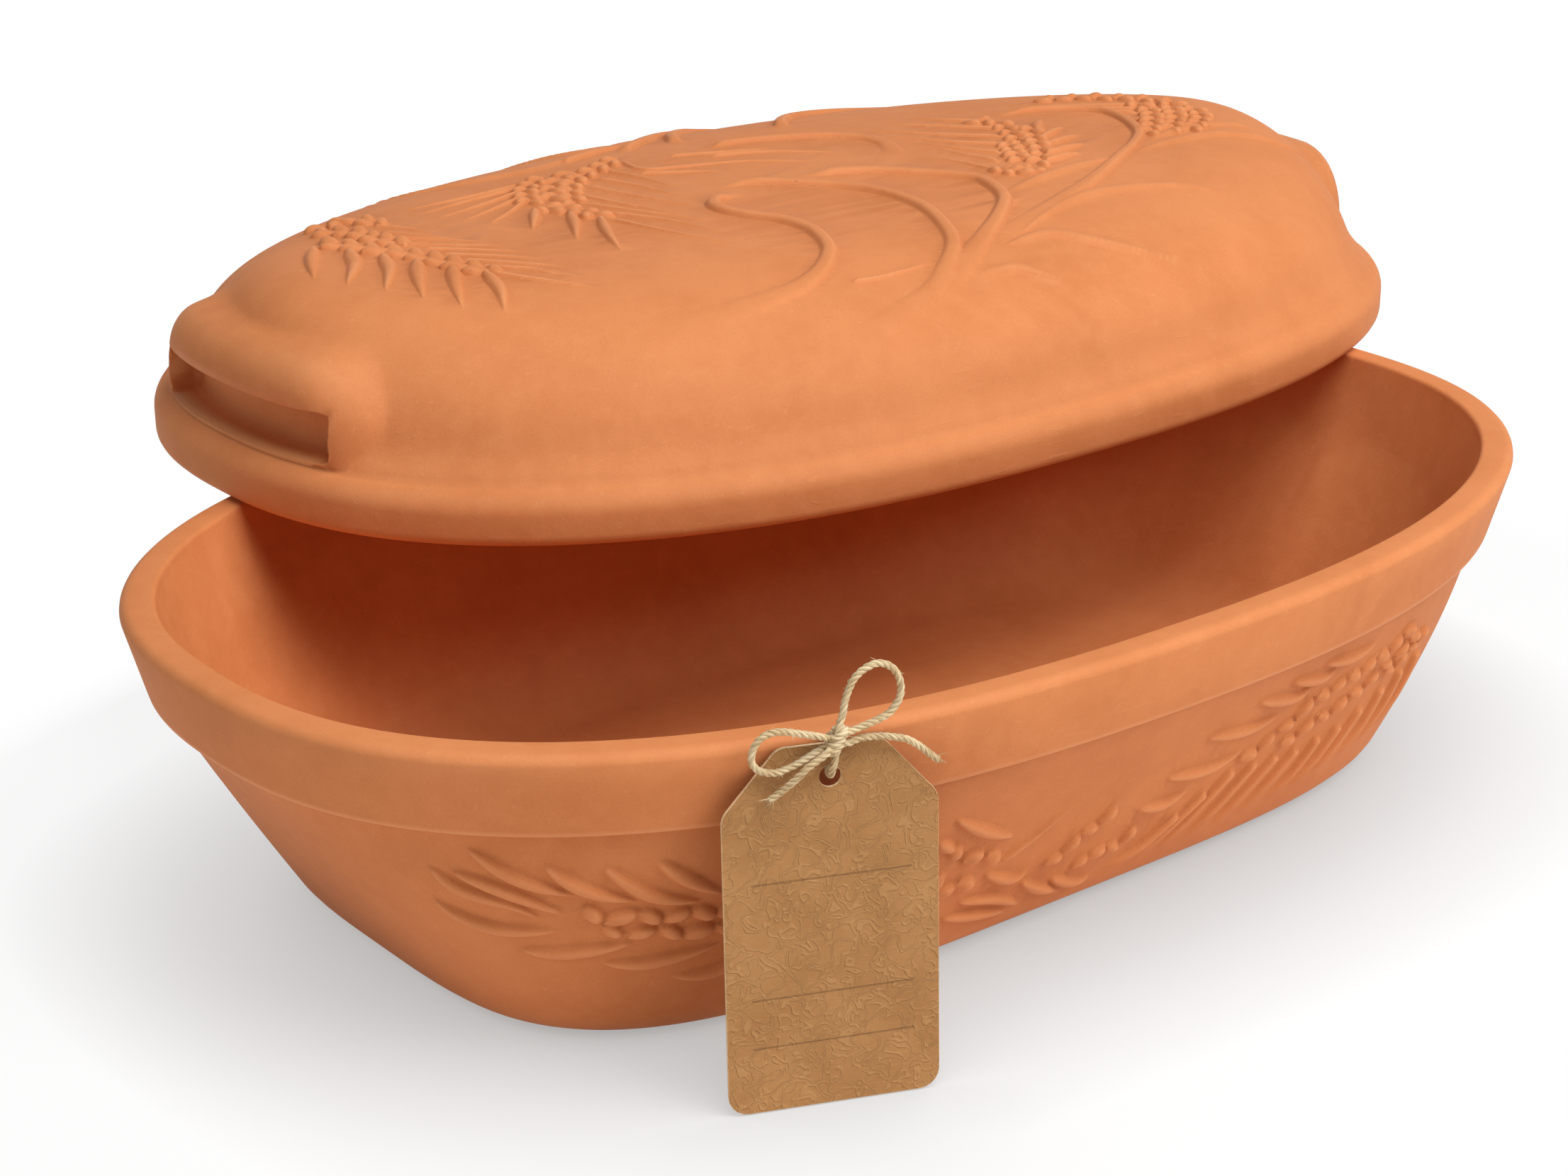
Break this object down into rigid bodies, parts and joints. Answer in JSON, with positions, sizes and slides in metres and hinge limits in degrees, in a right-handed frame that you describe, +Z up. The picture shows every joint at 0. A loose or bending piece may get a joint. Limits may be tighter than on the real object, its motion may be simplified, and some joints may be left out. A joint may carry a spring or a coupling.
{
  "type": "covered bread baker",
  "caption": "Oval unglazed clay bread baker with wheat ears in low relief: a deep bowl with a rim band and a vaulted lid with end grips that slides over the flat rim, with a card hang tag on twine.",
  "frame": {"origin": "on the table, under the middle of the bowl's flat foot", "axes": "+X along the bowl's length, +Z up, -Y the front, where the hang tag leans"},
  "size_m": [0.443, 0.3451, 0.1374],
  "materials": {
    "clay": "matte unglazed",
    "kraft_card": "matte uncoated",
    "twine": "twisted plant fibre"
  },
  "bodies": {
    "bowl": {"bowl": "clay"},
    "lid": {"lid": "clay"},
    "hang_tag": {"hang_tag": "kraft_card", "twine_knot": "twine", "twine_hole_tie": "twine", "twine_left_loop": "twine", "twine_right_loop": "twine", "twine_left_tail": "twine", "twine_right_tail": "twine"}
  },
  "joints": [
    {"name": "lid_slide", "type": "slide", "parent": "bowl", "child": "lid", "axis": [0.5292, 0.8485, 0], "range_m": [-0.11904, 0.23]},
    {"name": "tag_tip", "type": "hinge", "parent": "bowl", "child": "hang_tag", "pos_m": [-0.1031, -0.1152, 0.0003], "axis": [0.9221, -0.387, 0], "range_deg": [0, 87]}
  ]
}
